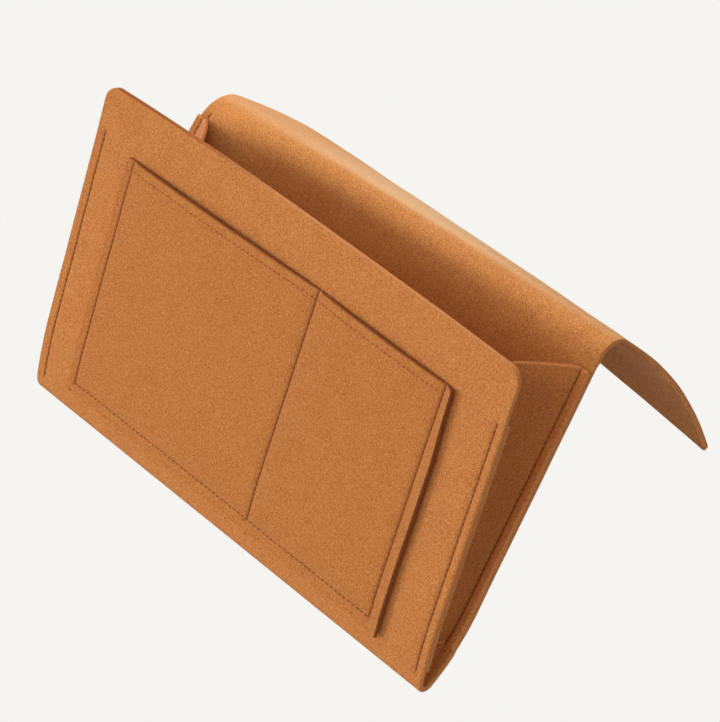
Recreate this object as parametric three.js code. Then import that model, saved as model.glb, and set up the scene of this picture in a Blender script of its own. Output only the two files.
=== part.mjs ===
// Felt bedside caddy: one long felt sheet is folded into a front wall, a back wall and a tuck flap that goes
// under the mattress. Two V gussets close its ends, and a flat divided pocket is sewn on the front wall.
// Millimetres. +Z up, +X along the width, the front wall faces -Y, the flap runs towards +Y.
// The origin is on the hollow side of the top bend at mid width, where the caddy hangs on the bed's edge.
import * as THREE from "three";

// Felt
const WIDTH = 320;
const FELT = 3.2;
const POCKET_FELT = 3.0;
const GUSSET_FELT = 3.0;
const SEWN_GAP = 0.3; // between two felt layers that a seam holds together
const SPLIT_GAP = 0.3; // where one sheet is parted into stiff panels and soft bends

// Bottom fold: a tight bend whose two sides splay out and then straighten
const FOLD_RADIUS = 4.5; // of the sheet's mid line
const FOLD_REACH = 12; // sheet length on each side that belongs to the fold
const RELAX_LENGTH = 44; // sheet length in which a splayed side straightens
const FRONT_SPLAY = 19.2; // degrees from vertical, leaving the fold
const BACK_SPLAY = 25.6;

// Front wall, measured along the sheet from the bottom of the fold
const FRONT_LENGTH = 192.2;
const FRONT_LEAN = 11.9; // degrees from vertical, forwards
const FRONT_BOW = 5.5; // how far the middle of the top edge is drawn back
const FRONT_CORNER = 9; // radius of the two top corners

// Back wall, top bend and flap, measured along the sheet from the bottom of the fold.
// The soft felt hangs a little twisted, so the left and right ends have their own section.
const SHEET_LENGTH = 359.8; // from the fold to the flap's tip
const FLAP_CORNER = 3;
const LEAN_RIGHT = -0.4; // degrees from vertical, backwards
const LEAN_LEFT = 8.1;
const BEND_AT_RIGHT = 208; // middle of the top bend
const BEND_AT_LEFT = 192.2;
const BEND_BOW = 1.6; // how much further along the sheet the bend lies at mid width
const BEND_RADIUS_RIGHT = 10.7; // of the sheet's mid line
const BEND_RADIUS_LEFT = 19.5;
const FLAP_START_RIGHT = 102.4; // degrees from vertical where the flap leaves the bend
const FLAP_START_LEFT = 96.3;
const FLAP_TIP_RIGHT = 127.9; // degrees from vertical at the drooping tip
const FLAP_TIP_LEFT = 110.1;

// Gussets
const SEAM_INSET = 5.4; // from the wall's side edge to the stitch line
const HEM_WIDTH = 6.2; // felt that lies flat on the wall, from its side edge
const GUSSET_FRONT_LOW = 13; // sheet length from the fold, on the front wall
const GUSSET_FRONT_TOP_RIGHT = 160;
const GUSSET_FRONT_TOP_LEFT = 165;
const GUSSET_BACK_LOW = 27; // on the back wall
const GUSSET_BACK_TOP_RIGHT = 191;
const GUSSET_BACK_TOP_LEFT = 180;
const WING_LOW = 11; // from hem to crease, at the lower edge
const WING_TOP_RIGHT = 44; // at the upper edge
const WING_TOP_LEFT = 48;
const WING_ROUND = 0.1; // how far the wing first follows the wall, as a part of the crease depth

// Front pocket, measured on the front wall
const POCKET_LEFT = 131; // sheet edge, left of the middle
const POCKET_RIGHT = 123.6; // sheet edge, right of the middle
const POCKET_LOW = 15.8;
const POCKET_TOP = 163.4;
const POCKET_CORNER = 2.5;
const POCKET_SEAM = 5; // from the sheet's side edges to the stitch lines
const POCKET_LOW_SEAM = 7; // from the lower edge to the stitch line
const DIVIDER_AT = 21.4; // right of the middle
const POCKET_HEM = 5; // from the open top edge to its stitch line

// Sewing thread, drawn as the slim strand that a row of stitches makes
const THREAD_WIDTH = 0.9;
const THREAD_HEIGHT = 0.5;
const THREAD_GAP = 0.25; // to the felt that it lies on
const SEAM_TAIL = 3; // stitches on the back wall, past the gusset's upper edge

// Facets
const COLUMNS = 10; // across a wall
const CORNER_STEPS = 4;
const RELAX_STEPS = 6; // where a wall straightens, above the fold
const WALL_STEPS = 5; // on the rest of a wall
const BEND_STEPS = 8;
const FLAP_STEPS = 8;
const GUSSET_LEVELS = 10;
const LEVEL_CROWDING = 1.5; // levels lie closer together near the fold
const WING_STEPS = 4;
const SEAM_STEP = 7;

const FELT_COLOUR = 0xc17d48;
const THREAD_COLOUR = 0x9a5d30;
const DEGREE = Math.PI / 180;
const HALF = WIDTH / 2;

const mix = (a, b, t) => a + (b - a) * t;
const steps = (count) => Array.from({ length: count + 1 }, (_, i) => i / count);
// A value that goes evenly from the left end of the caddy to its right end
const acrossWidth = (left, right, x) => mix(left, right, (x + HALF) / WIDTH);

// Follows a sheet from the bottom of the fold. Its direction, in degrees from vertical, changes evenly
// between knots [length, angle], so each stretch is a straight line or an arc.
function follow(knots, length) {
  let out = 0;
  let up = 0;
  for (let i = 1; i < knots.length; i++) {
    const [start, from] = knots[i - 1];
    const [end, to] = knots[i];
    const last = i === knots.length - 1;
    const stop = last ? length : Math.min(length, end);
    if (stop <= start) break;
    const turn = ((to - from) / (end - start)) * DEGREE;
    const a = from * DEGREE;
    const b = a + turn * (stop - start);
    const straight = Math.abs(turn) < 1e-9;
    out += straight ? Math.sin(a) * (stop - start) : (Math.cos(a) - Math.cos(b)) / turn;
    up += straight ? Math.cos(a) * (stop - start) : (Math.sin(b) - Math.sin(a)) / turn;
    if (stop === length) return { out, up, angle: b };
  }
  return { out, up, angle: knots[0][1] * DEGREE };
}

const foldArc = (splay) => FOLD_RADIUS * (90 - splay) * DEGREE;

// A point of the front wall: x across, s along the sheet, depth from its mid surface towards the inside
function frontWall(x, s, depth) {
  const arc = foldArc(FRONT_SPLAY);
  const knots = [
    [0, 90],
    [arc, FRONT_SPLAY],
    [arc + RELAX_LENGTH, FRONT_LEAN],
    [FRONT_LENGTH, FRONT_LEAN],
  ];
  const { out, up, angle } = follow(knots, s);
  const bow = FRONT_BOW * (s / FRONT_LENGTH) * (1 - (x / HALF) ** 2);
  const inside = depth + bow;
  return new THREE.Vector3(x, -out + inside * Math.cos(angle), up + inside * Math.sin(angle));
}

// The top bend's middle, start and end along the sheet at a place across the width
function topBend(x) {
  const lean = acrossWidth(LEAN_LEFT, LEAN_RIGHT, x);
  const leaves = acrossWidth(FLAP_START_LEFT, FLAP_START_RIGHT, x);
  const radius = acrossWidth(BEND_RADIUS_LEFT, BEND_RADIUS_RIGHT, x);
  const middle = acrossWidth(BEND_AT_LEFT, BEND_AT_RIGHT, x) + BEND_BOW * (1 - (x / HALF) ** 2);
  const reach = (radius * (leaves - lean) * DEGREE) / 2;
  return { lean, leaves, middle, start: middle - reach, end: middle + reach };
}

// A point of the back wall, the top bend or the flap, in the same terms. On the flap the inside is its top.
function backWall(x, s, depth) {
  const arc = foldArc(BACK_SPLAY);
  const bend = topBend(x);
  const knots = [
    [0, 90],
    [arc, BACK_SPLAY],
    [arc + RELAX_LENGTH, bend.lean],
    [bend.start, bend.lean],
    [bend.end, bend.leaves],
    [SHEET_LENGTH, acrossWidth(FLAP_TIP_LEFT, FLAP_TIP_RIGHT, x)],
  ];
  const { out, up, angle } = follow(knots, s);
  return new THREE.Vector3(x, out - depth * Math.cos(angle), up + depth * Math.sin(angle));
}

// A closed body between two grids of points: over[i][j] and under[i][j]
function bodyBetween(over, under) {
  const rows = over.length;
  const cols = over[0].length;
  const points = [...over.flat(), ...under.flat()];
  const top = (i, j) => i * cols + j;
  const low = (i, j) => rows * cols + i * cols + j;
  const faces = [];
  const quad = (a, b, c, d) => faces.push(a, b, c, a, c, d);
  for (let i = 0; i < rows - 1; i++) {
    for (let j = 0; j < cols - 1; j++) {
      quad(top(i, j), top(i, j + 1), top(i + 1, j + 1), top(i + 1, j));
      quad(low(i, j), low(i + 1, j), low(i + 1, j + 1), low(i, j + 1));
    }
  }
  for (let i = 0; i < rows - 1; i++) {
    quad(top(i, 0), top(i + 1, 0), low(i + 1, 0), low(i, 0));
    quad(top(i + 1, cols - 1), top(i, cols - 1), low(i, cols - 1), low(i + 1, cols - 1));
  }
  for (let j = 0; j < cols - 1; j++) {
    quad(top(0, j + 1), top(0, j), low(0, j), low(0, j + 1));
    quad(top(rows - 1, j), top(rows - 1, j + 1), low(rows - 1, j + 1), low(rows - 1, j));
  }
  const square = new THREE.Vector3();
  let sixfold = 0;
  for (let k = 0; k < faces.length; k += 3) {
    const [a, b, c] = faces.slice(k, k + 3).map((n) => points[n]);
    sixfold += a.dot(square.crossVectors(b, c));
  }
  if (sixfold < 0) faces.reverse();
  const geometry = new THREE.BufferGeometry().setFromPoints(points);
  geometry.setIndex(faces);
  geometry.computeVertexNormals();
  return geometry;
}

// A sheet of felt: rows of { s(x), left, right } across a wall, between two depths
function sheet(wall, rows, inner, outer) {
  const grid = (depth) =>
    rows.map(({ s, left, right }) =>
      steps(COLUMNS).map((t) => {
        const x = mix(left, right, t);
        return wall(x, s(x), depth);
      }),
    );
  return bodyBetween(grid(inner), grid(outer));
}

const rowsBetween = (low, high, count, left = -HALF, right = HALF) =>
  steps(count).map((t) => ({ s: (x) => mix(low(x), high(x), t), left, right }));

// Rows up a wall: close together where it straightens above the fold, then wider apart
function wallRows(low, high, left, right) {
  const relaxed = () => FOLD_REACH + RELAX_LENGTH;
  const curved = rowsBetween(() => low, relaxed, RELAX_STEPS, left, right);
  return [...curved, ...rowsBetween(relaxed, high, WALL_STEPS, left, right).slice(1)];
}

// Rows that close a sheet's far edge with two round corners
function roundedRows(end, radius, left, right) {
  return steps(CORNER_STEPS)
    .slice(1)
    .map((t) => {
      const turn = (t * Math.PI) / 2;
      const narrow = radius * (1 - Math.cos(turn));
      const s = end - radius + radius * Math.sin(turn);
      return { s: () => s, left: left + narrow, right: right - narrow };
    });
}

const caddy = new THREE.Group();
const pieces = new THREE.Group();
caddy.add(pieces);

function add(name, geometry, colour, roughness) {
  const material = new THREE.MeshStandardMaterial({ color: colour, roughness, metalness: 0 });
  const mesh = new THREE.Mesh(geometry, material);
  mesh.name = name;
  pieces.add(mesh);
}
const addFelt = (name, geometry) => add(name, geometry, FELT_COLOUR, 0.95);
const addThread = (name, geometry) => add(name, geometry, THREAD_COLOUR, 0.7);

// The long sheet: front wall, bottom fold, back wall, top bend and flap
const foldEdge = FOLD_REACH + SPLIT_GAP;
const frontRows = [
  ...wallRows(foldEdge, () => FRONT_LENGTH - FRONT_CORNER),
  ...roundedRows(FRONT_LENGTH, FRONT_CORNER, -HALF, HALF),
];
addFelt("front_panel", sheet(frontWall, frontRows, FELT / 2, -FELT / 2));

function bottomFold() {
  const around = steps(BEND_STEPS * 2).map((t) => mix(-FOLD_REACH, FOLD_REACH, t));
  const grid = (depth) =>
    around.map((s) =>
      steps(COLUMNS).map((t) => {
        const x = mix(-HALF, HALF, t);
        return s < 0 ? frontWall(x, -s, depth) : backWall(x, s, depth);
      }),
    );
  return bodyBetween(grid(FELT / 2), grid(-FELT / 2));
}
addFelt("bottom_fold", bottomFold());

const backRows = wallRows(foldEdge, (x) => topBend(x).start - SPLIT_GAP);
addFelt("back_panel", sheet(backWall, backRows, FELT / 2, -FELT / 2));

const bendRows = rowsBetween((x) => topBend(x).start, (x) => topBend(x).end, BEND_STEPS);
addFelt("top_bend", sheet(backWall, bendRows, FELT / 2, -FELT / 2));

const flapRows = [
  ...rowsBetween((x) => topBend(x).end + SPLIT_GAP, () => SHEET_LENGTH - FLAP_CORNER, FLAP_STEPS),
  ...roundedRows(SHEET_LENGTH, FLAP_CORNER, -HALF, HALF),
];
addFelt("tuck_flap", sheet(backWall, flapRows, FELT / 2, -FELT / 2));

// The front pocket, a flat sheet on the front wall with an open top
const pocketBack = -FELT / 2 - SEWN_GAP;
const pocketFace = pocketBack - POCKET_FELT;
const pocketRows = [
  ...wallRows(POCKET_LOW, () => POCKET_TOP - POCKET_CORNER, -POCKET_LEFT, POCKET_RIGHT),
  ...roundedRows(POCKET_TOP, POCKET_CORNER, -POCKET_LEFT, POCKET_RIGHT),
];
addFelt("pocket_panel", sheet(frontWall, pocketRows, pocketBack, pocketFace));

// How far up the two walls a gusset reaches at the left (-1) or right (1) end, and its wings' width there
const gussetTops = (side) =>
  side > 0
    ? { frontTop: GUSSET_FRONT_TOP_RIGHT, backTop: GUSSET_BACK_TOP_RIGHT, wingTop: WING_TOP_RIGHT }
    : { frontTop: GUSSET_FRONT_TOP_LEFT, backTop: GUSSET_BACK_TOP_LEFT, wingTop: WING_TOP_LEFT };

// A gusset's mid line at one level, from the front wall's edge to its crease and on to the back wall's edge
function gussetLine(side, t) {
  const low = FELT / 2 + SEWN_GAP + GUSSET_FELT / 2;
  const { frontTop, backTop, wingTop } = gussetTops(side);
  const front = (x) => frontWall(side * x, mix(GUSSET_FRONT_LOW, frontTop, t), low);
  const back = (x) => backWall(side * x, mix(GUSSET_BACK_LOW, backTop, t), low);
  const from = front(HALF - HEM_WIDTH);
  const to = back(HALF - HEM_WIDTH);
  const wing = mix(WING_LOW, wingTop, t);
  const span = from.distanceTo(to) / 2;
  const depth = Math.sqrt(wing ** 2 - span ** 2);
  const inwards = new THREE.Vector3(-side, 0, 0);
  const crease = from.clone().lerp(to, 0.5).addScaledVector(inwards, depth);
  const wingCurve = (end) => {
    const handle = end.clone().addScaledVector(inwards, depth * WING_ROUND);
    return new THREE.QuadraticBezierCurve3(end, handle, crease);
  };
  const frontWing = wingCurve(from).getPoints(WING_STEPS);
  const backWing = wingCurve(to).getPoints(WING_STEPS).reverse();
  return [front(HALF), ...frontWing, ...backWing.slice(1), back(HALF)];
}

// The square direction off each point of a gusset, lengthened at its folds to keep the felt's thickness
function gussetNormals(lines, i, j) {
  const line = lines[i];
  const up = lines[Math.min(i + 1, lines.length - 1)][j].clone().sub(lines[Math.max(i - 1, 0)][j]);
  const across = (k) => line[k + 1].clone().sub(line[k]).cross(up).normalize();
  const before = across(Math.max(j - 1, 0));
  const after = across(Math.min(j, line.length - 2));
  return before.clone().add(after).divideScalar(1 + before.dot(after));
}

function gusset(side) {
  const lines = steps(GUSSET_LEVELS).map((t) => gussetLine(side, t ** LEVEL_CROWDING));
  const grid = (depth) =>
    lines.map((line, i) =>
      line.map((point, j) => point.clone().addScaledVector(gussetNormals(lines, i, j), depth)),
    );
  return bodyBetween(grid(GUSSET_FELT / 2), grid(-GUSSET_FELT / 2));
}
addFelt("left_gusset", gusset(-1));
addFelt("right_gusset", gusset(1));

// A strand of thread along a path of [x, s] points on a wall, on the face at the given depth.
// Outwards is -1 where the strand stands off towards the outside and 1 towards the inside.
function strand(wall, path, face, outwards) {
  const fine = [path[0]];
  path.slice(1).forEach(([x, s], k) => {
    const [fromX, fromS] = path[k];
    const count = Math.max(1, Math.ceil(Math.hypot(x - fromX, s - fromS) / SEAM_STEP));
    steps(count)
      .slice(1)
      .forEach((t) => fine.push([mix(fromX, x, t), mix(fromS, s, t)]));
  });
  const points = fine.map(([x, s]) => new THREE.Vector2(x, s));
  const edge = (k) => {
    const at = Math.min(Math.max(k, 0), points.length - 2);
    const along = points[at + 1].clone().sub(points[at]).normalize();
    return new THREE.Vector2(-along.y, along.x);
  };
  const grid = (depth) =>
    points.map((point, k) => {
      const before = edge(k - 1);
      const after = edge(k);
      const square = before.clone().add(after).divideScalar(1 + before.dot(after));
      return [-THREAD_WIDTH / 2, THREAD_WIDTH / 2].map((aside) => {
        const place = point.clone().addScaledVector(square, aside);
        return wall(place.x, place.y, depth);
      });
    });
  const base = face + outwards * THREAD_GAP;
  return bodyBetween(grid(base + outwards * THREAD_HEIGHT), grid(base));
}

// Each gusset seam has a strand on the wall's outside and one on the gusset's hem
const hemFace = FELT / 2 + SEWN_GAP + GUSSET_FELT;
for (const [name, side] of [["left", -1], ["right", 1]]) {
  const x = side * (HALF - SEAM_INSET);
  const { frontTop, backTop } = gussetTops(side);
  const walls = [
    ["front", frontWall, GUSSET_FRONT_LOW, frontTop, 0],
    ["back", backWall, GUSSET_BACK_LOW, backTop, SEAM_TAIL],
  ];
  for (const [wallName, wall, low, high, tail] of walls) {
    const outside = [[x, low], [x, high + tail]];
    const inside = [[x, low], [x, high]];
    addThread(`${name}_${wallName}_seam_outside`, strand(wall, outside, -FELT / 2, -1));
    addThread(`${name}_${wallName}_seam_inside`, strand(wall, inside, hemFace, 1));
  }
}

// The pocket's seams: round three sides, down the divider, and along the hem of its open edge
const seamLeft = -POCKET_LEFT + POCKET_SEAM;
const seamRight = POCKET_RIGHT - POCKET_SEAM;
const seamLow = POCKET_LOW + POCKET_LOW_SEAM;
const seamTop = POCKET_TOP - THREAD_WIDTH;
const hemLine = POCKET_TOP - POCKET_HEM;
const sideClear = THREAD_WIDTH + SPLIT_GAP;
const around = [[seamLeft, seamTop], [seamLeft, seamLow], [seamRight, seamLow], [seamRight, seamTop]];
const dividerTop = hemLine - sideClear;
const dividerLow = seamLow + sideClear;
const divider = [[DIVIDER_AT, dividerTop], [DIVIDER_AT, dividerLow]];
const hem = [[seamLeft + sideClear, hemLine], [seamRight - sideClear, hemLine]];
addThread("pocket_seam_outside", strand(frontWall, around, pocketFace, -1));
addThread("pocket_seam_inside", strand(frontWall, around, FELT / 2, 1));
addThread("divider_seam_outside", strand(frontWall, divider, pocketFace, -1));
addThread("divider_seam_inside", strand(frontWall, divider, FELT / 2, 1));
addThread("pocket_hem_stitch", strand(frontWall, hem, pocketFace, -1));

const hollowOfBend = backWall(0, topBend(0).middle, -FELT / 2);
pieces.position.copy(hollowOfBend).negate();

export default caddy;
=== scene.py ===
import bmesh
import bpy
import numpy as np
from mathutils import Matrix


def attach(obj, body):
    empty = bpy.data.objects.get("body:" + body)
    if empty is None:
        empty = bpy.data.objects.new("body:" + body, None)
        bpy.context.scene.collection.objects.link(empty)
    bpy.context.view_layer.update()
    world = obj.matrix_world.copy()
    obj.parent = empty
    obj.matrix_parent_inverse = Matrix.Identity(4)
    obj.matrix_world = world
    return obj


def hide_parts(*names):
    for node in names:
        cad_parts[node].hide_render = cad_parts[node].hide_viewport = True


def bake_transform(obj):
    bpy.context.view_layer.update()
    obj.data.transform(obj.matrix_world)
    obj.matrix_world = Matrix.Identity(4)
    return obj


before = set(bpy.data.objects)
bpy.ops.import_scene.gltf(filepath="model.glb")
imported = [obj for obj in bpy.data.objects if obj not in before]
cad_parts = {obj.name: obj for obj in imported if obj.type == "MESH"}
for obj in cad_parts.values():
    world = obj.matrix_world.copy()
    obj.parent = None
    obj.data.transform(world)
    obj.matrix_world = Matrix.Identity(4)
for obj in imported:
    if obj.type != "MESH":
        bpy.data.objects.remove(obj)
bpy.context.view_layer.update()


# The long sheet is one strip of wool felt, 3.2 mm thick, cut with a blade and folded twice. It makes the front
# wall, the bottom fold, the back wall, the rolled top bend and the flap that is tucked under the mattress.
# It hangs a little twisted, so its left and right ends have their own section.
width = 0.320
half = width / 2
felt = 0.0032
edge_round, sewn_round, cut_reach = 0.0006, 0.0011, 0.0005

fold_radius = 0.0045
relax_length = 0.044
front_splay, back_splay = 19.2, 25.6
front_length, front_lean, front_bow, front_corner = 0.1922, 11.9, 0.0055, 0.009
sheet_length, flap_corner = 0.3598, 0.003
lean_ends = (8.1, -0.4)
bend_at_ends, bend_bow = (0.1922, 0.208), 0.0016
bend_radius_ends = (0.0195, 0.0107)
flap_start_ends = (96.3, 102.4)
flap_tip_ends = (110.1, 127.9)


def run_of_felt(knots, s):
    """Follow a sheet from the bottom of the fold over a length s. Its heading, in degrees from upright, changes
    evenly between the knots (length, heading), so each stretch is a line or an arc, and is added as its chord."""
    out, up = np.zeros_like(s), np.zeros_like(s)
    heading = np.full_like(s, np.pi / 2)
    for (start, here), (end, there) in zip(knots, knots[1:]):
        reach = np.clip(s, start, end) - start
        turn = np.radians(there - here) * reach / (end - start)
        middle = np.radians(here) + turn / 2
        chord = reach * np.sinc(turn / (2 * np.pi))
        out = out + chord * np.sin(middle)
        up = up + chord * np.cos(middle)
        heading = np.where(s > start, np.radians(here) + turn, heading)
    return out, up, heading


wave_height = 0.00009


def unevenness(x, s):
    """Hand-laid felt is never quite flat: three crossed sine waves, a fifth of a millimetre high together."""
    wave = np.sin(61 * x + 37 * s + 0.4) + 0.7 * np.sin(113 * x - 89 * s + 1.9) + 0.5 * np.sin(171 * s + 47 * x)
    return wave_height * wave


def across_width(ends, x):
    """A value that goes evenly from the caddy's left end to its right end."""
    left, right = ends
    return left + (right - left) * (x + half) / width


def top_bend(x):
    """Where the top bend starts, has its middle and ends along the sheet: an arc of the local radius between the
    back wall's lean and the flap's first heading. Its middle lies a little further along at mid width."""
    lean, leaves = across_width(lean_ends, x), across_width(flap_start_ends, x)
    middle = across_width(bend_at_ends, x) + bend_bow * (1 - (x / half) ** 2)
    reach = across_width(bend_radius_ends, x) * np.radians(leaves - lean) / 2
    return lean, leaves, middle - reach, middle, middle + reach


def back_run(x, s):
    """The back wall's section at x: fold arc, straightening stretch, wall, top bend and drooping flap."""
    arc = fold_radius * np.radians(90 - back_splay)
    lean, leaves, start, _, end = top_bend(x)
    knots = [(0.0, 90.0), (arc, back_splay), (arc + relax_length, lean), (start, lean), (end, leaves)]
    return run_of_felt(knots + [(sheet_length, across_width(flap_tip_ends, x))], s)


# The frame's origin is where the middle of the bend rests on the bed's edge, so the run of felt up to there gives
# the fold's place.
middle_of_bend = np.array(top_bend(0.0)[3])
out_to_bend, up_to_bend, heading_at_bend = back_run(np.array(0.0), middle_of_bend)
fold_y = -(out_to_bend + felt / 2 * np.cos(heading_at_bend))
fold_z = -(up_to_bend - felt / 2 * np.sin(heading_at_bend))
fold_calm = 0.02


def front_wall(x, s, depth):
    """A point of the front wall: x across, s up the sheet from the fold, depth from its mid surface to the inside.
    The wall leaves the fold splayed, straightens, and its top edge is drawn back most in the middle. Its
    unevenness dies out within a finger's width of the fold."""
    arc = fold_radius * np.radians(90 - front_splay)
    knots = [(0.0, 90.0), (arc, front_splay), (arc + relax_length, front_lean), (front_length, front_lean)]
    out, up, heading = run_of_felt(knots, s)
    bow = front_bow * (s / front_length) * (1 - (x / half) ** 2)
    inside = depth + bow + unevenness(x, s) * np.tanh(s / fold_calm)
    return np.stack([x, fold_y - out + inside * np.cos(heading), fold_z + up + inside * np.sin(heading)], axis=-1)


def back_wall(x, s, depth):
    """A point of the back wall, the top bend or the flap, in the same terms. On the flap the inside is its top."""
    out, up, heading = back_run(x, s)
    inside = depth + unevenness(x, -s) * np.tanh(s / fold_calm)
    return np.stack([x, fold_y + out - inside * np.cos(heading), fold_z + up + inside * np.sin(heading)], axis=-1)


def round_the_fold(x, s, depth):
    """The front wall where s is above zero, and the back wall where it is below."""
    ahead = front_wall(x, np.maximum(s, 0.0), depth)
    return np.where((s >= 0)[..., None], ahead, back_wall(x, np.maximum(-s, 0.0), depth))


def stations(start, *runs):
    """Places along a line: from start, each run (end, step) is cut into even steps no longer than step."""
    places = [np.array([start])]
    for end, step in runs:
        count = max(1, int(np.ceil(abs(end - start) / step - 1e-6)))
        places.append(np.linspace(start, end, count + 1)[1:])
        start = end
    return np.concatenate(places)


def inside_edge(side, end, corner):
    """How far a point is inside a cut edge, from its distances to the side and to the end: where both are nearer
    than the corner's radius, the distance is taken to the corner's arc."""
    return corner - np.hypot(np.maximum(corner - side, 0), np.maximum(corner - end, 0))


def edge_drop(inset, sewn=0.0):
    """How far a face comes in at a cut edge: a quarter round of the edge's radius, which is wider where a seam has
    pulled the edge tight."""
    radius = edge_round + sewn_round * sewn
    gone = np.clip(radius - inset, 0, radius)
    return radius - np.sqrt(radius**2 - gone**2)


furrow_depth, furrow_width = 0.0005, 0.00055
trough_depth, trough_width = 0.0010, 0.0020
press_width = 0.0006


def bell(off, reach):
    """A bell shaped curve: 1 on the line, and about a third of that at the distance reach from it."""
    return np.exp(-((off / reach) ** 2))


def seam_dip(off, strip):
    """How deep a seam pulls the felt in, at a distance off it that counts up towards the cut edge: a narrow bell
    shaped furrow for the thread, a softer bell shaped trough inwards, and outwards a strip that rises evenly."""
    rising = np.clip(1 - off / strip, 0, 1)
    return furrow_depth * bell(off, furrow_width) + trough_depth * np.where(off > 0, rising, bell(off, trough_width))


def fade(value, low, high):
    """0 below low, 1 above high, with a smooth rise between."""
    t = np.clip((value - low) / (high - low), 0, 1)
    return t * t * (3 - 2 * t)


def felt_piece(
    name, over, under, inset, pressed_and_shade_over, pressed_and_shade_under,
    painted_highlight=0.0, combed=0.0, inside=0.0, runs_on=False, core_share_under=1.0,
):
    """A closed sheet of felt between two grids of points, its faces over and under. A ring of quads round both
    grids closes the rim, and is shaded flat on the first row where the sheet runs on into the next piece. All quads
    are turned round where the volume they enclose comes out negative.
    Attributes keep how near each point is to a cut edge, how hard a seam presses it together with painted shade,
    how far the face over carries a painted pale highlight or is an inside face, and how far the fibres of the face
    under are combed along the sheet. The core share under is how much of the cut edge's colour reaches the face
    under."""
    rows, cols = over.shape[:2]
    count = rows * cols
    points = np.concatenate([over.reshape(-1, 3), under.reshape(-1, 3)])
    grid = np.arange(count).reshape(rows, cols)
    top = np.stack([grid[:-1, :-1], grid[:-1, 1:], grid[1:, 1:], grid[1:, :-1]], axis=-1).reshape(-1, 4)
    ring = np.concatenate([grid[0, :-1], grid[:-1, -1], grid[-1, :0:-1], grid[:0:-1, 0]])
    after = np.roll(ring, -1)
    rim = np.stack([after, ring, ring + count, after + count], axis=-1)
    quads = np.concatenate([top, top[:, ::-1] + count, rim])
    a, b, c, d = (points[quads[:, k]] for k in range(4))
    if np.einsum("ij,ij->i", a, np.cross(b, c) + np.cross(c, d)).sum() < 0:
        quads = quads[:, ::-1]
    mesh = bpy.data.meshes.new(name)
    mesh.from_pydata(points.tolist(), [], quads.tolist())
    cut = np.clip(1 - inset / cut_reach, 0, 1)
    none = np.zeros_like(inset)
    kept = {
        "cut_edge": np.stack([cut, cut * core_share_under]),
        "pressed_and_shade": np.stack([pressed_and_shade_over, pressed_and_shade_under]),
        "painted_highlight": np.stack([none + painted_highlight, none]),
        "inside": np.stack([none + inside, none]),
        "combed": np.stack([none, none + combed]),
    }
    for label, values in kept.items():
        layer = mesh.attributes.new(label, "FLOAT", "POINT")
        layer.data.foreach_set("value", values.ravel().astype(np.float32))
    smooth = np.ones(len(quads), bool)
    smooth[2 * len(top):2 * len(top) + (cols - 1) * runs_on] = False
    mesh.polygons.foreach_set("use_smooth", smooth)
    mesh.update()
    piece = bpy.data.objects.new(name, mesh)
    bpy.context.scene.collection.objects.link(piece)
    return piece


felt_shades = (0.360, 0.052, 0.005), (0.894, 0.403, 0.116)
core_shades = (0.36, 0.088, 0.018), (0.80, 0.350, 0.130)
# The colours of the painted pale highlight, and of pressed felt with painted shade.
highlight_colour, pressed_shade = (0.80, 0.55, 0.30), (0.27, 0.066, 0.011)
# Inside faces are tinted less red: a painted correction of the colour of the shade inside the caddy.
inside_shade_tint = (0.98, 1.05, 1.06, 1)
fibre_share, tuft_share, cloud_share = 0.56, 0.21, 0.04
highlight_share, core_share, pressed_and_shade_share = 0.46, 0.85, 0.64
darkest_blend, palest_blend = 0.238, 0.572


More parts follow.
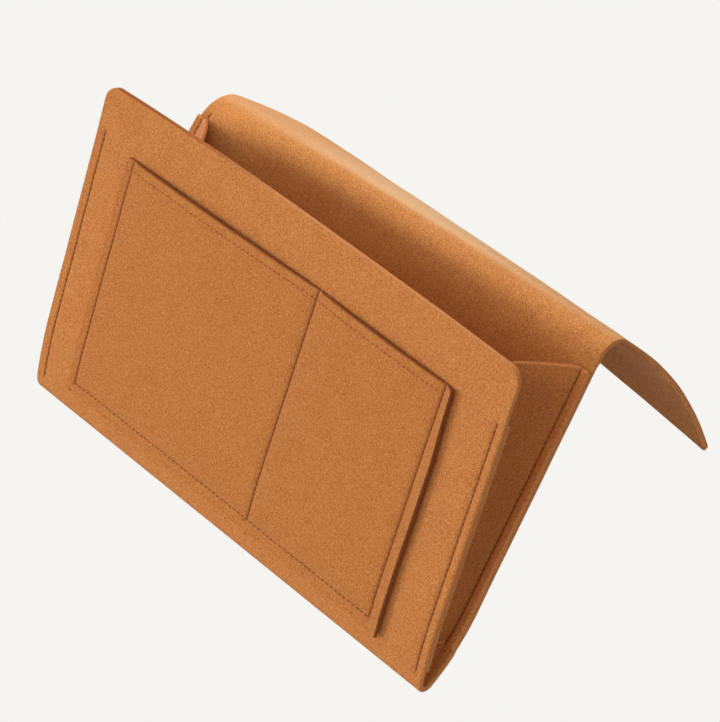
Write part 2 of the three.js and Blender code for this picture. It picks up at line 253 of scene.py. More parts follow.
def felt_material(name, tone, core_tone):
    """Caramel wool felt in a darker or paler tone. Its colour lies between a dark and a pale shade, by a blend of
    three noises: fine curled fibres, tufts and broad clouds. Inside faces are tinted less red, a painted correction
    of their shaded colour. Places with a painted highlight are paler, cut edges show the core, and seams press the
    felt darker, partly with painted shade, which also darkens shaded rims, creases and undersides. A fuzzy bump and
    a pale sheen stand for loose fibres."""
    material = bpy.data.materials.new(name)
    material.use_nodes = True
    nodes, links = material.node_tree.nodes, material.node_tree.links
    shader = nodes["Principled BSDF"]
    place = nodes.new("ShaderNodeTexCoord")

    def noise(scale, detail, roughness, distortion, squeeze=None):
        node = nodes.new("ShaderNodeTexNoise")
        node.inputs["Scale"].default_value = scale
        node.inputs["Detail"].default_value = detail
        node.inputs["Roughness"].default_value = roughness
        node.inputs["Distortion"].default_value = distortion
        vector = place.outputs["Object"]
        if squeeze:
            longer = nodes.new("ShaderNodeVectorMath")
            longer.operation = "MULTIPLY"
            longer.inputs[1].default_value = squeeze
            links.new(vector, longer.inputs[0])
            vector = longer.outputs["Vector"]
        links.new(vector, node.inputs["Vector"])
        return node.outputs["Fac"]

    def math(operation, first, second):
        node = nodes.new("ShaderNodeMath")
        node.operation = operation
        for socket, value in zip(node.inputs, (first, second)):
            if isinstance(value, float):
                socket.default_value = value
            else:
                links.new(value, socket)
        return node.outputs["Value"]

    def mixed(amount, first, second, how="MIX"):
        node = nodes.new("ShaderNodeMix")
        node.data_type = "RGBA"
        node.blend_type = how
        links.new(amount, node.inputs["Factor"])
        for socket, value in ((node.inputs["A"], first), (node.inputs["B"], second)):
            if isinstance(value, tuple):
                socket.default_value = value
            else:
                links.new(value, socket)
        return node.outputs["Result"]

    def kept(label):
        node = nodes.new("ShaderNodeAttribute")
        node.attribute_name = label
        return node.outputs["Fac"]

    def dyed(shade):
        return tuple(part * dye for part, dye in zip(shade, tone)) + (1,)

    fibres = noise(scale=2100.0, detail=2.0, roughness=0.6, distortion=0.5)
    tufts = noise(scale=1000.0, detail=1.0, roughness=0.5, distortion=0.2)
    clouds = noise(scale=70.0, detail=3.0, roughness=0.5, distortion=0.3)
    along = noise(scale=1500.0, detail=2.0, roughness=0.6, distortion=0.0, squeeze=(1.0, 0.25, 0.25))
    fibres = math("ADD", fibres, math("MULTIPLY", kept("combed"), math("SUBTRACT", along, fibres)))
    blend = math("ADD", math("MULTIPLY", fibres, fibre_share), math("MULTIPLY", tufts, tuft_share))
    blend = math("ADD", blend, math("MULTIPLY", clouds, cloud_share))
    spread = nodes.new("ShaderNodeMapRange")
    spread.inputs["From Min"].default_value = darkest_blend
    spread.inputs["From Max"].default_value = palest_blend
    links.new(blend, spread.inputs["Value"])
    dark_felt, pale_felt = (dyed(shade) for shade in felt_shades)
    colour = mixed(spread.outputs["Result"], dark_felt, pale_felt)
    colour = mixed(kept("inside"), colour, inside_shade_tint, "MULTIPLY")
    colour = mixed(math("MULTIPLY", kept("painted_highlight"), highlight_share), colour, dyed(highlight_colour))
    edge = math("MULTIPLY", kept("cut_edge"), core_share)
    dark_core, pale_core = (tuple(core_tone * part for part in shade) + (1,) for shade in core_shades)
    core = mixed(spread.outputs["Result"], dark_core, pale_core)
    colour = mixed(edge, colour, core)
    colour = mixed(math("MULTIPLY", kept("pressed_and_shade"), pressed_and_shade_share), colour, dyed(pressed_shade))
    links.new(colour, shader.inputs["Base Color"])
    shader.inputs["Roughness"].default_value = 0.95
    shader.inputs["Specular IOR Level"].default_value = 0.15
    shader.inputs["Sheen Weight"].default_value = 0.12
    shader.inputs["Sheen Roughness"].default_value = 0.36
    shader.inputs["Sheen Tint"].default_value = (1.0, 0.93, 0.78, 1)
    bump = nodes.new("ShaderNodeBump")
    bump.inputs["Strength"].default_value = 0.35
    bump.inputs["Distance"].default_value = 0.0006
    links.new(math("ADD", fibres, tufts), bump.inputs["Height"])
    links.new(bump.outputs["Normal"], shader.inputs["Normal"])
    return material


caramel_felt = felt_material("caramel_felt", (1.01, 1.035, 1.10), 1.0)

seam_inset, seam_tail, seam_fade = 0.0054, 0.003, 0.002
gusset_front_low, gusset_front_tops = 0.013, (0.165, 0.160)
gusset_back_low, gusset_back_tops = 0.027, (0.180, 0.191)
front_seam_lows = (0.0095, 0.0112)

# Where the columns and the last rows of a sheet's grid lie, as distances from its cut edges: close together on the
# rounded edge and on both sides of the seam, and wider on plain felt.
near_edge = np.array([0, 0.08, 0.22, 0.4, 0.6, 0.95, 1.5, 2.3, 3.2, 4.0, 4.55, 4.95, 5.2, 5.4]) / 1000
past_seam = np.array([5.6, 5.85, 6.25, 6.8, 7.6, 8.8, 10.5, 13.0]) / 1000
side_places = np.concatenate([near_edge, past_seam])
plain_half, plain_step = half - past_seam[-1], 0.0036
sheet_columns = np.concatenate([
    side_places - half,
    stations(-plain_half, (plain_half, plain_step))[1:-1],
    (half - side_places)[::-1],
])
end_places = np.array([0.009, 0.007, 0.0052, 0.0036, 0.0024, 0.0015, 0.00095, 0.0006, 0.0004, 0.00022, 0.00008, 0])


def wall_grid(rows, end, corner):
    """The grid of a wall: the sheet's columns on each row, drawn in where the end's corners are rounded."""
    left_over = np.maximum(end - rows, 0)
    gone = np.maximum(corner - left_over, 0)
    row_half = half - corner + np.sqrt(corner**2 - gone**2)
    x = sheet_columns[None, :] * (row_half / half)[:, None]
    s = np.repeat(rows[:, None], len(sheet_columns), axis=1)
    return x, s, inside_edge(half - np.abs(x), end - s, corner)


sheet_split = 0.030
near_split = ((-0.0296, 0.0002), (-0.028, 0.0008), (-0.014, 0.002))
up_front = ((0.014, 0.0009), (0.060, 0.0023), (0.160, 0.0034), (0.184, 0.0028))
front_rows = np.concatenate([stations(-sheet_split, *near_split, *up_front)[:-1], front_length - end_places])
x, s, inset = wall_grid(front_rows, front_length, front_corner)

# The top edge is cut a little lower right of the middle, and the fold's left corner is drawn in.
edge_sag = 0.0009
corner_draw, corner_reach = 0.0022, 0.005
s = s - edge_sag * fade(x, -0.07, 0.02) * fade(s, 0.10, front_length)
x = x + corner_draw * bell(s, corner_reach) * fade(-x, 0.10, half)

# The seam shows from its first stitch to the gusset's top. The top rim carries a painted dark line of shade, most at
# its left end.
front_rim_shade_most, front_rim_shade_lost, rim_fade = 1.4, 0.70, 0.0004
drop = edge_drop(inset)
off_seam = seam_inset - half + np.abs(x)
seam_top = np.where(x < 0, *gusset_front_tops)
seam_start = np.where(x < 0, *front_seam_lows)
sewn = fade(s, seam_start - seam_fade, seam_start) * fade(seam_top - s, -seam_fade, 0)
sewn = sewn + fade(-s, gusset_back_low - seam_fade, gusset_back_low)
front_rim_shade = front_rim_shade_most * fade(edge_round - front_length + s, 0, rim_fade) * (1 - front_rim_shade_lost * fade(x, -0.13, -0.02))
front_sheet = felt_piece(
    "front_sheet",
    round_the_fold(x, s, felt / 2 - drop),
    round_the_fold(x, s, -felt / 2 + edge_drop(inset, sewn * (x > 0)) + sewn * seam_dip(off_seam, seam_inset)),
    inset,
    front_rim_shade,
    np.maximum(front_rim_shade, sewn * bell(off_seam, press_width)),
    inside=1.0,
    runs_on=True,
)
front_sheet.data.materials.append(caramel_felt)
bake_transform(front_sheet)
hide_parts("front_panel", "bottom_fold")

near_split = ((0.0304, 0.0002), (0.032, 0.0008), (0.060, 0.0023))
up_back = ((0.168, 0.0034), (0.232, 0.0013), (sheet_length - 0.012, 0.0034))
back_rows = np.concatenate([stations(sheet_split, *near_split, *up_back), sheet_length - end_places])
x, s, inset = wall_grid(back_rows, sheet_length, flap_corner)
drop = edge_drop(inset)
off_seam = seam_inset - half + np.abs(x)
seam_top = np.where(x < 0, *gusset_back_tops) + seam_tail
sewn = fade(seam_top - s, -seam_fade, 0)
tail = sewn * fade(s - seam_top + seam_tail, 0, 0.001) * (x < 0)

# The flap's underside is painted with shade, dark near the bend and along its middle, less at its free end. The
# bend's other face and the flap's top carry a painted pale highlight, most at mid width.
underside_shade_reach, underside_shade_middle, underside_shade_lost = 0.055, 0.6, 0.6
highlight_reach, highlight_most, highlight_lost = 0.10, 1.12, 0.70
_, bend_middle, bend_end = top_bend(x)[2:]
# Painted shade on the flap's underside.
underside_shade = 1 - fade(s, bend_end, bend_end + underside_shade_reach)
underside_shade = np.maximum(underside_shade, underside_shade_middle * fade(half - np.abs(x), 0.01, 0.09))
underside_shade = underside_shade * fade(s, bend_middle, bend_end) * (1 - underside_shade_lost * fade(s, sheet_length - 0.05, sheet_length))
painted_highlight = fade(s, bend_middle + 0.001, bend_middle + 0.0055) * fade(bend_end + highlight_reach - s, 0, 0.08)
back_sheet = felt_piece(
    "back_sheet",
    back_wall(x, s, felt / 2 - drop - tail * seam_dip(off_seam, seam_inset)),
    back_wall(x, s, -felt / 2 + edge_drop(inset, sewn * (x > 0)) + sewn * seam_dip(off_seam, seam_inset)),
    inset,
    tail * bell(off_seam, press_width),
    np.maximum(underside_shade, sewn * bell(off_seam, press_width)),
    painted_highlight * (highlight_most - highlight_lost * fade(np.abs(x), 0.0, 0.15)),
    fade(s, bend_middle, bend_end),
    inside=1.0,
    runs_on=True,
)
back_sheet.data.materials.append(caramel_felt)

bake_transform(back_sheet)
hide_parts("back_panel", "top_bend", "tuck_flap")


# Each gusset is one piece of felt, folded inwards into a V. Its two hems lie flat inside the walls, flush with
# their side edges, and are sewn there. The crease between its wings is soft, because felt doesn't fold sharp.
gusset_felt = 0.003
sewn_gap = 0.0001
hem_width = 0.0062
wing_low, wing_tops, wing_round = 0.011, (0.048, 0.044), 0.1
wing_steps = 27
crease_rounds, crease_reach, crease_pull = 14, 7.0, 0.6
hem_mid = felt / 2 + sewn_gap + gusset_felt / 2
hem_dips, hem_tilts, hem_slack = (0.35, 0.7), (-1.6, -5.9), 0.002
crease_shade, rim_shade, rim_shade_behind = 0.45, 0.35, 0.55


def gusset_sheet(side, level):
    """A gusset's mid surface. At each level its line runs from the front wall's edge along the hem, over a curved
    wing to the crease, and back to the back wall's edge. Each wing is a curve with one handle, which first follows
    the wall. The crease is then rounded by averaging neighbours, most within a few points of the crease."""
    front_top, back_top, wing_top = (ends[side > 0] for ends in (gusset_front_tops, gusset_back_tops, wing_tops))
    front_s = gusset_front_low + (front_top - gusset_front_low) * level
    back_s = gusset_back_low + (back_top - gusset_back_low) * level
    hem = np.concatenate([near_edge, past_seam[past_seam < hem_width], [hem_width]])
    x = np.repeat(side * (half - hem)[None, :], len(level), axis=0)
    on_front = front_wall(x, np.repeat(front_s[:, None], len(hem), axis=1), hem_mid)
    on_back = back_wall(x, np.repeat(back_s[:, None], len(hem), axis=1), hem_mid)
    start, end = on_front[:, -1:], on_back[:, -1:]
    wing = (wing_low + (wing_top - wing_low) * level)[:, None, None]
    span = np.linalg.norm(end - start, axis=-1, keepdims=True) / 2
    depth = np.sqrt(wing**2 - span**2)
    inwards = np.array([-side, 0.0, 0.0])
    crease = (start + end) / 2 + inwards * depth
    u = np.linspace(0, 1, wing_steps)[None, 1:, None]

    def wing_curve(hem_end):
        handle = hem_end + inwards * depth * wing_round
        return (1 - u) ** 2 * hem_end + 2 * u * (1 - u) * handle + u**2 * crease

    to_crease, from_crease = wing_curve(start), wing_curve(end)[:, -2::-1]
    line = np.concatenate([on_front, to_crease, from_crease, on_back[:, ::-1]], axis=1)
    at_crease = len(hem) + u.shape[1] - 1
    softness = bell(np.arange(line.shape[1]) - at_crease, crease_reach)[None, 1:-1, None]
    for _ in range(crease_rounds):
        mean = (line[:, :-2] + line[:, 2:]) / 2
        line[:, 1:-1] += softness * (mean - line[:, 1:-1]) * crease_pull
    return line


# Levels go from 0 at the gusset's foot to 1 at its top, and lie close together at both ends.
level = stations(0.0, (0.004, 0.002), (0.03, 0.006), (0.985, 0.016), (1.0, 0.0025)) ** 1.25
for side, name in ((-1, "left_gusset"), (1, "right_gusset")):
    line = gusset_sheet(side, level)
    rows, cols = line.shape[:2]
    across = np.gradient(line, axis=1)
    along = np.gradient(line, axis=0)
    square = np.cross(across, along) * side
    square /= np.linalg.norm(square, axis=-1, keepdims=True)
    steps = np.linalg.norm(np.diff(line, axis=1), axis=-1)
    run = np.concatenate([np.zeros((rows, 1)), np.cumsum(steps, axis=1)], axis=1)
    to_side = np.minimum(run, run[:, -1:] - run)
    climb = np.linalg.norm(np.diff(line, axis=0), axis=-1)
    height = np.concatenate([np.zeros((1, cols)), np.cumsum(climb, axis=0)], axis=0)
    to_end = np.minimum(height, height[-1:] - height)
    inset = np.minimum(to_side, to_end)
    drop = edge_drop(inset)
    off_seam = seam_inset - to_side
    dip = hem_dips[side > 0] * seam_dip(off_seam, seam_inset)
    over = line + square * (gusset_felt / 2 - edge_drop(inset, 1.0) - dip)[..., None]
    under = line - square * (gusset_felt / 2 - drop)[..., None]
    pressed_and_shade = bell(off_seam, press_width)
    # Painted shade darkens each wing low down away from its hems, and its top rim, most towards the back wall.
    pressed_and_shade = np.maximum(pressed_and_shade, crease_shade * (1 - level[:, None]) ** 0.7 * fade(to_side, 0.0055, 0.012))
    top_rim_shade = rim_shade + rim_shade_behind * fade(run / run[:, -1:], 0.3, 0.7)
    top_rim_shade = fade(edge_round - height[-1:] + height, 0, rim_fade) * top_rim_shade
    gusset = felt_piece(name + "_felt", over, under, inset, np.maximum(pressed_and_shade, top_rim_shade), top_rim_shade)
    gusset.data.materials.append(caramel_felt)
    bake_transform(gusset)
    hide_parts(name)


# The pocket is a flat piece of thinner felt on the front wall, sewn round three sides and down a divider. Its open
# top edge is hemmed with one row of stitches, and gapes a little between the seams. Its right edge strip curls.
pocket_felt = 0.003
pocket_left, pocket_right = -0.131, 0.1262
pocket_low, pocket_top, pocket_corner = 0.0158, 0.1618, 0.0016
pocket_seam, pocket_right_seam, pocket_low_seam, pocket_hem = 0.005, 0.0076, 0.007, 0.005
divider_at = 0.0214
seam_left, seam_right = pocket_left + pocket_seam, pocket_right - pocket_right_seam
seam_low, hem_line = pocket_low + pocket_low_seam, pocket_top - pocket_hem
mouth_gap, mouth_reach, slack, narrow_arch = 0.0026, 0.060, 0.0005, 0.6
pocket_rest = 0.00002
pocket_face = -felt / 2 - sewn_gap - pocket_felt


def between_seams(x):
    """How far each half of the pocket stands off between its seams: one sine arch from seam to seam, which is
    fuller towards the left end in the wide half and flatter in the narrow one."""
    left = np.sin(np.pi * np.clip((x - seam_left) / (divider_at - seam_left), 0, 1) ** 0.8)
    right = np.sin(np.pi * np.clip((x - divider_at) / (seam_right - divider_at), 0, 1))
    return np.where(x < divider_at, left, narrow_arch * right)


def pocket_gape(x, s):
    """How far the pocket stands off the wall: the arches between its seams, which open towards the top edge, and a
    little slack all over above the low seam."""
    gape = mouth_gap * between_seams(x) ** 0.8 * fade(s, pocket_top - mouth_reach, pocket_top) ** 1.5
    return gape + slack * between_seams(x) ** 0.5 * fade(s, seam_low, seam_low + 0.02)


fine = np.array([0, 0.2, 0.45, 0.85, 1.4, 2.2, 3.4, 5.0]) / 1000
round_seam = np.concatenate([-fine[:0:-1], fine])
side_seam = np.concatenate([near_edge[:7], [0.0022, 0.0030, 0.0036, 0.00415, 0.00455, 0.0048], pocket_seam + fine])
x_places = np.concatenate([
    pocket_left + side_seam,
    stations(pocket_left + 0.010, (divider_at - 0.005, 0.0036))[1:-1],
    divider_at + round_seam,
    stations(divider_at + 0.005, (seam_right - 0.005, 0.0036))[1:-1],
    seam_right - fine[:0:-1],
    seam_right + np.array([0, 0.0002, 0.00045, 0.00085, 0.0014, 0.0022, 0.0034, 0.0048]),
    pocket_right - near_edge[6::-1],
])
low_seam = np.concatenate([near_edge[:7], [0.003, 0.0045, 0.0056, 0.00615, 0.00655, 0.0068], pocket_low_seam + fine])
s_places = np.concatenate([
    pocket_low + low_seam,
    stations(seam_low + 0.005, (hem_line - 0.004, 0.0034))[1:],
    hem_line + np.array([-0.0022, -0.0012, -0.0006, 0, 0.0006, 0.0012, 0.0022]),
    pocket_top - near_edge[6::-1],
])
middle, reach = (pocket_left + pocket_right) / 2, (pocket_right - pocket_left) / 2
gone = np.maximum(pocket_corner - np.maximum(pocket_top - s_places, 0), 0)
row_reach = reach - pocket_corner + np.sqrt(pocket_corner**2 - gone**2)
x = middle + (x_places - middle)[None, :] * (row_reach / reach)[:, None]
s = np.repeat(s_places[:, None], len(x_places), axis=1)
inset = np.minimum(inside_edge(reach - np.abs(x - middle), pocket_top - s, pocket_corner), s - pocket_low)
drop = edge_drop(inset)

# The strip past the right seam is cut wider low down than at the top, and curls off the wall. Its cut edge shows
# the pocket's dark core in full on the outer face, painted shade on that rim, and the other edges show a quarter of
# it.
strip_wider, strip_taper, strip_curl, other_edges_core_share = 0.0012, 0.0024, 0.0022, 0.25
past_right_seam = np.clip((x - seam_right) / pocket_right_seam, 0, 1)
x = x + (strip_wider - strip_taper * fade(s, 0.115, pocket_top)) * past_right_seam
curl = strip_curl * past_right_seam**1.2

# The side seams and the divider pull the felt in hard. The fine rows along the foot and the hem hardly do.
foot_pull, hem_pull = 0.30, 0.15
foot_press, foot_press_width, hem_press = 0.20, 0.0007, 0.08
gape = pocket_gape(x, s)
off_side = np.maximum(seam_left - x, x - seam_right)
off_divider = -np.abs(x - divider_at)
within = fade(-off_side, -0.001, 0)
side_sewn = fade(s, seam_low - 0.004, seam_low)
divider_sewn = fade(s, seam_low - 0.002, seam_low)
strip = np.where(x < divider_at, pocket_seam, pocket_right_seam)
dip = np.maximum(side_sewn * seam_dip(off_side, strip), divider_sewn * seam_dip(off_divider, pocket_seam))
dip = np.maximum(dip, foot_pull * within * seam_dip(-np.abs(s - seam_low), pocket_low_seam))
dip = np.maximum(dip, hem_pull * within * seam_dip(-np.abs(s - hem_line), pocket_hem))
pressed_and_shade = np.maximum(side_sewn * bell(off_side, press_width), divider_sewn * bell(off_divider, press_width))
pressed_and_shade = np.maximum(pressed_and_shade, foot_press * within * bell(s - seam_low, foot_press_width))
pressed_and_shade = np.maximum(pressed_and_shade, hem_press * within * bell(s - hem_line, press_width))
pocket = felt_piece(
    "pocket_sheet",
    front_wall(x, s, -felt / 2 - pocket_rest - drop - gape - curl),
    front_wall(x, s, pocket_face + drop + dip - gape - curl),
    inset,
    np.zeros_like(s),
    pressed_and_shade,
    core_share_under=np.where(past_right_seam > 0.1, 1.0, other_edges_core_share),
)
# The pocket's felt is a darker copy of the caramel felt, painted shade as the light falls off down the wall, and its
# core is darker still, painted shade on its rims.
pocket.data.materials.append(felt_material("pocket_felt", (0.912, 0.912, 0.912), 0.42))
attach(pocket, "front")
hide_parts("pocket_panel")


# The seams are lockstitch in a strong brown polyester thread, about three stitches to the centimetre. Each stitch
# is a short twisted strand that dives into the felt at both ends, and lies in the furrow it pulls.
stitch_pitch = 0.0034
long_stitch, short_stitch = 0.0025, 0.0021
thread_radius, fine_thread_radius = 0.00037, 0.00027
stitch_arch, stitch_sunk, flattened = 0.00030, 0.00022, 0.8
rings, sides = 7, 6
thread_shades = (0.18, 0.042, 0.007), (0.38, 0.110, 0.020)


def thread_material(name, tone):
    """Brown polyester thread in a darker or paler tone: a bright and a dark strand twisted round each other, seen
    as slanted bands along the stitch, with a soft gloss."""
    material = bpy.data.materials.new(name)
    material.use_nodes = True
    nodes, links = material.node_tree.nodes, material.node_tree.links
    shader = nodes["Principled BSDF"]
    twist = nodes.new("ShaderNodeUVMap")
    twist.uv_map = "twist"
    bands = nodes.new("ShaderNodeTexWave")
    bands.bands_direction = "DIAGONAL"
    bands.inputs["Scale"].default_value = 1.4
    bands.inputs["Distortion"].default_value = 0.6
    links.new(twist.outputs["UV"], bands.inputs["Vector"])
    shades = nodes.new("ShaderNodeMix")
    shades.data_type = "RGBA"
    for socket, shade in zip((shades.inputs["A"], shades.inputs["B"]), thread_shades):
        socket.default_value = tuple(part * tone for part in shade) + (1,)
    links.new(bands.outputs["Fac"], shades.inputs["Factor"])
    links.new(shades.outputs["Result"], shader.inputs["Base Color"])
    shader.inputs["Roughness"].default_value = 0.6
    shader.inputs["Specular IOR Level"].default_value = 0.25
    bump = nodes.new("ShaderNodeBump")
    bump.inputs["Strength"].default_value = 0.5
    bump.inputs["Distance"].default_value = 0.0001
    links.new(bands.outputs["Fac"], bump.inputs["Height"])
    links.new(bump.outputs["Normal"], shader.inputs["Normal"])
    return material


brown_thread = thread_material("brown_thread", 0.85)
hem_thread = thread_material("hem_thread", 1.2)


def row_of_stitches(wall, path, depth, outwards, stitch_length, radius):
    """Stitches along a path of (x, s) points on a wall. Each is a tube of six sides and seven rings, wider than it
    is high, that rises in the middle by a sine arch and dives under the felt at its ends. It narrows there by the
    root of one minus the cube of the distance from its middle. Outwards is -1 where the stitch stands off towards
    the wall's outside and 1 towards its inside."""
    path = np.array(path)
    legs = np.linalg.norm(np.diff(path, axis=0), axis=1)
    marks = np.concatenate([[0], np.cumsum(legs)])
    count = max(1, int(round(marks[-1] / stitch_pitch)))
    pitch = marks[-1] / count
    u = np.linspace(0, 1, rings)
    v = np.arange(sides) * 2 * np.pi / sides
    length = (np.arange(count)[:, None] + 0.5) * pitch + (u[None, :] - 0.5) * stitch_length
    length = np.clip(length, 0, marks[-1])
    leg = np.clip(np.searchsorted(marks, (np.arange(count) + 0.5) * pitch) - 1, 0, len(legs) - 1)
    way = (np.diff(path, axis=0) / legs[:, None])[leg]
    swell = np.sqrt(np.clip(1 - np.abs(2 * u - 1) ** 3, 0.02, 1))
    rise = stitch_arch * np.sin(np.pi * u) - stitch_sunk
    aside = radius * swell[None, :, None] * np.cos(v)[None, None, :]
    lift = rise[None, :, None] + flattened * radius * swell[None, :, None] * np.sin(v)[None, None, :]
    x = np.interp(length, marks, path[:, 0])[..., None] - aside * way[:, 1][:, None, None]
    s = np.interp(length, marks, path[:, 1])[..., None] + aside * way[:, 0][:, None, None]
    return wall(x, s, depth + outwards * lift), count


def sewn_seam(name, body, rows, nodes, thread=brown_thread):
    """One seam: its rows of stitches as one mesh. Quads join the rings, and a six sided face closes each end. All
    faces are then turned to face out."""
    points, quads, caps = [], [], []
    start, per_stitch = 0, rings * sides
    for row in rows:
        tubes, count = row_of_stitches(*row)
        points.append(tubes.reshape(-1, 3))
        index = start + np.arange(count * per_stitch).reshape(count, rings, sides)
        around = np.roll(index, -1, axis=2)
        quads.append(np.stack([index[:, :-1], around[:, :-1], around[:, 1:], index[:, 1:]], axis=-1).reshape(-1, 4))
        caps.append(np.concatenate([index[:, 0, ::-1], index[:, -1]]))
        start += count * per_stitch
    points, quads, caps = np.concatenate(points), np.concatenate(quads), np.concatenate(caps)
    mesh = bpy.data.meshes.new(name)
    mesh.from_pydata(points.tolist(), [], quads.tolist() + caps.tolist())
    mesh.polygons.foreach_set("use_smooth", np.ones(len(mesh.polygons), bool))
    corner = np.zeros(len(mesh.loops), np.int32)
    mesh.loops.foreach_get("vertex_index", corner)
    ring, angle = corner % per_stitch // sides, corner % sides
    layer = mesh.uv_layers.new(name="twist")
    layer.data.foreach_set("uv", np.stack([ring / (rings - 1), angle / sides], axis=-1).ravel().astype(np.float32))
    seam = bpy.data.objects.new(name, mesh)
    bpy.context.scene.collection.objects.link(seam)
    seam.data.materials.append(thread)
    facing_out = bmesh.new()
    facing_out.from_mesh(mesh)
    bmesh.ops.recalc_face_normals(facing_out, faces=facing_out.faces)
    facing_out.to_mesh(mesh)
    facing_out.free()
    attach(seam, body)
    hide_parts(*nodes)


# How deep under the felt's face each kind of row lies, how far the corner tack stands proud of it, and how far a
# row stops short of an edge. The outer row of a front seam starts lower than the inner one.
furrow, skin, hem_skin, stray_skin = 0.00122, 0.0002, 0.00006, 0.0001
tack_proud = 0.00015
stop_short, hem_stop = 0.001, 0.002
strong = (long_stitch, thread_radius)
fine_row = (short_stitch, fine_thread_radius)
hem_face = felt / 2 + sewn_gap + gusset_felt
for side, end_name in ((-1, "left"), (1, "right")):
    line = side * (half - seam_inset)
    for wall_name, wall, first, low, high, tail in (
        ("front", front_wall, front_seam_lows[side > 0], gusset_front_low, gusset_front_tops[side > 0], 0.0),
        ("back", back_wall, gusset_back_low, gusset_back_low, gusset_back_tops[side > 0], seam_tail),
    ):
        rows = [
            (wall, [(line, first), (line, high + tail)], -felt / 2 + furrow, -1, *strong),
            (wall, [(line, low), (line, high - stop_short)], hem_face - furrow * hem_dips[side > 0], 1, *strong),
        ]
        if tail and side < 0:
            rows.append((wall, [(line, high), (line, high + tail)], felt / 2 - furrow, 1, *strong))
        seam = f"{end_name}_{wall_name}_seam"
        sewn_seam(seam + "_stitches", wall_name, rows, [seam + "_outside", seam + "_inside"])

around_pocket = [
    (seam_left, pocket_top - stop_short),
    (seam_left, seam_low),
    (seam_right, seam_low),
    (seam_right, pocket_top - stop_short),
]
corner_tack = [(-0.1300, 0.0178), (-0.1260, 0.0171)]
sewn_seam(
    "pocket_stitches",
    "front",
    [
        (front_wall, around_pocket[0:2], pocket_face + furrow, -1, *strong),
        (front_wall, around_pocket[1:3], pocket_face + skin, -1, *fine_row),
        (front_wall, around_pocket[2:4], pocket_face + furrow, -1, *strong),
        (front_wall, around_pocket, felt / 2 - skin, 1, *strong),
        (front_wall, corner_tack, pocket_face - tack_proud, -1, *strong),
    ],
    ["pocket_seam_outside", "pocket_seam_inside"],
)
down_divider = [(divider_at, pocket_top - stop_short), (divider_at, seam_low)]
divider_tack = [(0.0199, 0.0224), (0.0197, 0.0194)]
below_pocket = [(0.0207, 0.0138), (0.0209, 0.0104)]
thread_end = [(0.0208, 0.0082), (0.0208, 0.0060)]
sewn_seam(
    "divider_stitches",
    "front",
    [
        (front_wall, down_divider, pocket_face + furrow, -1, *strong),
        (front_wall, divider_tack, pocket_face + skin, -1, *strong),
        (front_wall, below_pocket, -felt / 2 + stray_skin, -1, *strong),
        (front_wall, thread_end, -felt / 2 + stray_skin, -1, *fine_row),
        (front_wall, down_divider, felt / 2 - skin, 1, *strong),
    ],
    ["divider_seam_outside", "divider_seam_inside"],
)


def gaping_pocket(x, s, depth):
    """The front wall's points carried out with the gaping top edge of the pocket."""
    return front_wall(x, s, depth - pocket_gape(x, s))


hem_ends = [
    [(seam_left + hem_stop, hem_line), (divider_at - stop_short, hem_line)],
    [(divider_at + stop_short, hem_line), (seam_right - hem_stop, hem_line)],
]
sewn_seam(
    "pocket_hem_stitches",
    "front",
    [(gaping_pocket, ends, pocket_face + hem_skin, -1, *fine_row) for ends in hem_ends],
    ["pocket_hem_stitch"],
    hem_thread,
)


# The floor is a plain pale round far below the hanging caddy. Its rim fades into the pale background, and the
# object's own shadow stays on it.
backdrop_colour, floor_colour = (0.913, 0.905, 0.871, 1), (0.64, 0.63, 0.61, 1)
floor_z, floor_reach = -1.20, 1.1
turn = np.linspace(0, 2 * np.pi, 97)[:-1]
radius = np.array([0.0005, 0.3, 0.6, 0.9, floor_reach])
floor_points = np.stack([
    radius[:, None] * np.cos(turn)[None, :],
    radius[:, None] * np.sin(turn)[None, :],
    np.full((len(radius), len(turn)), floor_z),
], axis=-1)
index = np.arange(len(radius) * len(turn)).reshape(len(radius), len(turn))
nearer, further = index[:-1], index[1:]
floor_quads = np.stack([nearer, further, np.roll(further, -1, axis=1), np.roll(nearer, -1, axis=1)], axis=-1)
floor_mesh = bpy.data.meshes.new("floor")
floor_faces = floor_quads.reshape(-1, 4).tolist() + [index[0].tolist()]
floor_mesh.from_pydata(floor_points.reshape(-1, 3).tolist(), [], floor_faces)
floor = bpy.data.objects.new("floor", floor_mesh)
bpy.context.scene.collection.objects.link(floor)

pale_floor = bpy.data.materials.new("pale_floor")
pale_floor.use_nodes = True
nodes, links = pale_floor.node_tree.nodes, pale_floor.node_tree.links
matt = nodes["Principled BSDF"]
matt.inputs["Base Color"].default_value = floor_colour
matt.inputs["Roughness"].default_value = 0.9
glow = nodes.new("ShaderNodeEmission")
glow.inputs["Color"].default_value = backdrop_colour
place = nodes.new("ShaderNodeTexCoord")
away = nodes.new("ShaderNodeVectorMath")
away.operation = "LENGTH"
flat = nodes.new("ShaderNodeVectorMath")
flat.operation = "MULTIPLY"
flat.inputs[1].default_value = (1, 1, 0)
links.new(place.outputs["Object"], flat.inputs[0])
links.new(flat.outputs["Vector"], away.inputs[0])
rim = nodes.new("ShaderNodeMapRange")
rim.interpolation_type = "SMOOTHSTEP"
rim.inputs["From Min"].default_value = 0.10
rim.inputs["From Max"].default_value = 1.0
rim.inputs["To Min"].default_value = 0.40
links.new(away.outputs["Value"], rim.inputs["Value"])


def seen_or_mirrored(nodes, links):
    """1 for a ray that comes straight from the camera, or by way of a gloss or a clear surface: the largest of the
    three."""
    path = nodes.new("ShaderNodeLightPath")
    seen = path.outputs["Is Camera Ray"]
    for kind in ("Is Glossy Ray", "Is Transmission Ray"):
        either = nodes.new("ShaderNodeMath")
        either.operation = "MAXIMUM"
        links.new(seen, either.inputs[0])
        links.new(path.outputs[kind], either.inputs[1])
        seen = either.outputs["Value"]
    return seen


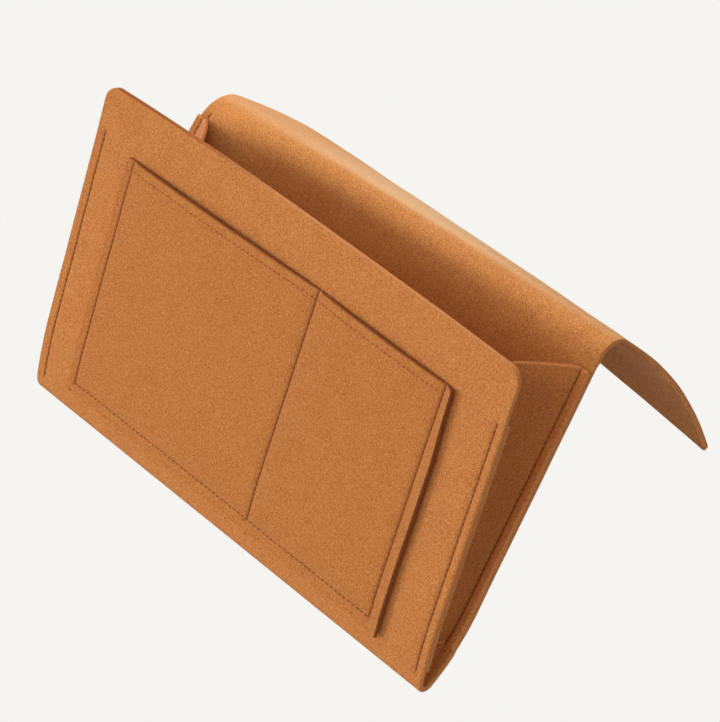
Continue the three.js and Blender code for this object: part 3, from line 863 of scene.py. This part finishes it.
both = nodes.new("ShaderNodeMath")
both.operation = "MULTIPLY"
links.new(rim.outputs["Result"], both.inputs[0])
links.new(seen_or_mirrored(nodes, links), both.inputs[1])
choice = nodes.new("ShaderNodeMixShader")
links.new(both.outputs["Value"], choice.inputs["Fac"])
links.new(matt.outputs["BSDF"], choice.inputs[1])
links.new(glow.outputs["Emission"], choice.inputs[2])
links.new(choice.outputs["Shader"], nodes["Material Output"].inputs["Surface"])
floor_mesh.materials.append(pale_floor)


# Studio light: a white tent, brightest above the front, and five soft lamps. A broad window stands on the left of
# the picture, a lamp in front, one above the top bend, one at the right end and a weak fill low on the right. The
# background behind the object is the tent's own pale colour.
tent_above, tent_below = 0.28, 0.01
tent_colour, brightest_way = (1, 0.985, 0.96, 1), (0.0, -0.6, 0.8)
tent = bpy.data.worlds.new("tent")
bpy.context.scene.world = tent
tent.use_nodes = True
nodes, links = tent.node_tree.nodes, tent.node_tree.links
light = nodes["Background"]
light.inputs["Color"].default_value = tent_colour
way = nodes.new("ShaderNodeTexCoord")
towards = nodes.new("ShaderNodeVectorMath")
towards.operation = "DOT_PRODUCT"
towards.inputs[1].default_value = brightest_way
links.new(way.outputs["Generated"], towards.inputs[0])
level = nodes.new("ShaderNodeMapRange")
level.interpolation_type = "SMOOTHSTEP"
level.inputs["From Min"].default_value = -0.4
level.inputs["From Max"].default_value = 0.7
level.inputs["To Min"].default_value = tent_below
level.inputs["To Max"].default_value = tent_above
links.new(towards.outputs["Value"], level.inputs["Value"])
links.new(level.outputs["Result"], light.inputs["Strength"])
behind = nodes.new("ShaderNodeBackground")
behind.inputs["Color"].default_value = backdrop_colour
choice = nodes.new("ShaderNodeMixShader")
links.new(seen_or_mirrored(nodes, links), choice.inputs["Fac"])
links.new(light.outputs["Background"], choice.inputs[1])
links.new(behind.outputs["Background"], choice.inputs[2])
links.new(choice.outputs["Shader"], nodes["World Output"].inputs["Surface"])


def studio_lamp(name, place, aim, size, power):
    """A square soft lamp at a place, facing the point it is aimed at."""
    data = bpy.data.lights.new(name, "AREA")
    data.shape = "SQUARE"
    data.size = size
    data.energy = power
    lamp = bpy.data.objects.new(name, data)
    bpy.context.scene.collection.objects.link(lamp)
    back = np.array(place) - np.array(aim)
    back = back / np.linalg.norm(back)
    right = np.cross([0.0, 0.0, 1.0], back)
    right = right / np.linalg.norm(right)
    turn = np.eye(4)
    turn[:3, 0], turn[:3, 1], turn[:3, 2], turn[:3, 3] = right, np.cross(back, right), back, place
    lamp.matrix_world = Matrix(turn.tolist())
    lamp.visible_camera = False


object_middle = np.array([0.0, -0.02, -0.10])
for name, distance, direction, size, power in (
    ("window", 2.2, (-0.52, -0.83, -0.18), 1.2, 22.6),
    ("front_lamp", 2.2, (0.12, -0.98, 0.14), 1.2, 12.5),
    ("top_lamp", 1.2, (-0.42, 0.14, 0.90), 0.7, 12.5),
    ("side_lamp", 2.2, (0.93, 0.28, -0.22), 1.0, 12.5),
    ("low_fill", 2.2, (0.72, -0.55, -0.42), 1.0, 3.8),
):
    studio_lamp(name, object_middle + distance * np.array(direction), object_middle, size, power)


# The camera stands to the right of the front wall, a little above it, and is rolled, so that the caddy hangs
# across the picture from upper left to lower right.
camera_place = np.array([0.9203, -1.2722, 0.3679])
camera_right = np.array([0.67027, 0.62105, 0.40625])
camera_up = np.array([-0.48966, -0.04124, 0.87094])
camera_back = np.array([0.55765, -0.78268, 0.27646])

camera_data = bpy.data.cameras.new("camera")
camera_data.lens = 151.06
camera_data.sensor_width = 36.0
camera = bpy.data.objects.new("camera", camera_data)
bpy.context.scene.collection.objects.link(camera)
camera_turn = np.eye(4)
camera_turn[:3, 0], camera_turn[:3, 1], camera_turn[:3, 2] = camera_right, camera_up, camera_back
camera_turn[:3, 3] = camera_place
camera.matrix_world = Matrix(camera_turn.tolist())
bpy.context.scene.camera = camera
bpy.context.scene.view_settings.view_transform = "Standard"
